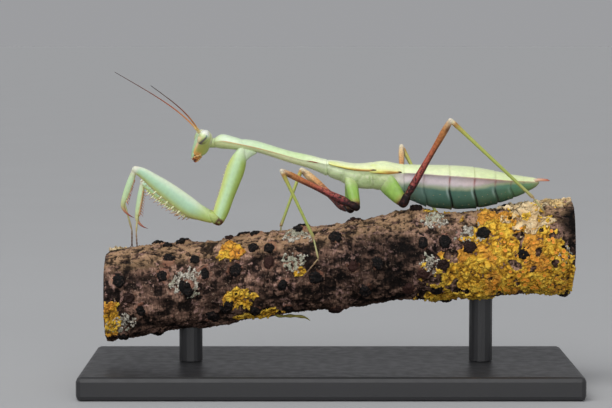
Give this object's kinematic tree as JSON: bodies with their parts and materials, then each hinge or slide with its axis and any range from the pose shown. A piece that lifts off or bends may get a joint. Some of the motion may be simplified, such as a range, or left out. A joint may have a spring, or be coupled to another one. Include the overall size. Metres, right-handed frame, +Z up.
{
  "type": "praying mantis",
  "caption": "Still, life-size praying mantis nymph walking on a cut length of lichen-covered branch, held by a plain display stand.",
  "frame": {"origin": "centre of the underside of the stand's base", "axes": "+Z up; the mantis faces -X and its left side faces -Y; the base is longest along X"},
  "size_m": [0.084, 0.04, 0.0541],
  "materials": {
    "green_cuticle": "satin, pale green cuticle with an orange-brown line",
    "abdomen_cuticle": "satin, yellow-green above, pink-lilac at the side, dark blue-green below",
    "mouthparts": "satin orange-brown with dark spots",
    "eye": "glossy yellow-green with a dark lower rim",
    "antenna": "matt, orange-brown darkening to the tip",
    "wing_pad": "satin pale green with a bright yellow lower edge",
    "cercus": "satin pink to orange-brown",
    "leg_joint": "satin dark brown",
    "foreleg_cuticle": "satin, pale mint green with reddish spine tips",
    "coxa_cuticle": "satin leaf green",
    "walking_femur": "satin, dark red at the root to orange and cream at the knee",
    "walking_tibia": "satin yellow-green",
    "foot": "matt olive to brown",
    "bark": "rough pinkish-brown bark with dark knobs and yellow lichen",
    "stand": "plain satin black"
  },
  "bodies": {
    "root": {"abdomen_1": "abdomen_cuticle", "abdomen_2": "abdomen_cuticle", "abdomen_3": "abdomen_cuticle", "abdomen_4": "abdomen_cuticle", "abdomen_5": "abdomen_cuticle", "abdomen_6": "abdomen_cuticle", "abdomen_tip": "abdomen_cuticle", "antenna_left": "antenna", "antenna_right": "antenna", "cercus_left": "cercus", "cercus_right": "cercus", "eye_left": "eye", "eye_right": "eye", "fore_coxa_left": "foreleg_cuticle", "fore_coxa_right": "foreleg_cuticle", "fore_femur_left": "foreleg_cuticle", "fore_femur_right": "foreleg_cuticle", "fore_tarsus_left": "foot", "fore_tarsus_right": "foot", "fore_tibia_left": "foreleg_cuticle", "fore_tibia_right": "foreleg_cuticle", "fore_trochanter_left": "leg_joint", "fore_trochanter_right": "leg_joint", "head": "green_cuticle", "hind_coxa_left": "coxa_cuticle", "hind_coxa_right": "coxa_cuticle", "hind_femur_left": "walking_femur", "hind_femur_right": "walking_femur", "hind_tarsus_left": "foot", "hind_tarsus_right": "foot", "hind_tibia_left": "walking_tibia", "hind_tibia_right": "walking_tibia", "hind_trochanter_left": "leg_joint", "hind_trochanter_right": "leg_joint", "labrum": "green_cuticle", "mandibles": "mouthparts", "mesothorax": "green_cuticle", "metathorax": "green_cuticle", "mid_coxa_left": "coxa_cuticle", "mid_coxa_right": "coxa_cuticle", "mid_femur_left": "walking_femur", "mid_femur_right": "walking_femur", "mid_tarsus_left": "foot", "mid_tarsus_right": "foot", "mid_tibia_left": "walking_tibia", "mid_tibia_right": "walking_tibia", "mid_trochanter_left": "leg_joint", "mid_trochanter_right": "leg_joint", "neck": "green_cuticle", "perch_branch": "bark", "prothorax": "green_cuticle", "stand_base": "stand", "stand_rod_left": "stand", "stand_rod_right": "stand", "wing_pad_fore_left": "wing_pad", "wing_pad_fore_right": "wing_pad", "wing_pad_hind_left": "wing_pad", "wing_pad_hind_right": "wing_pad"}
  },
  "joints": []
}
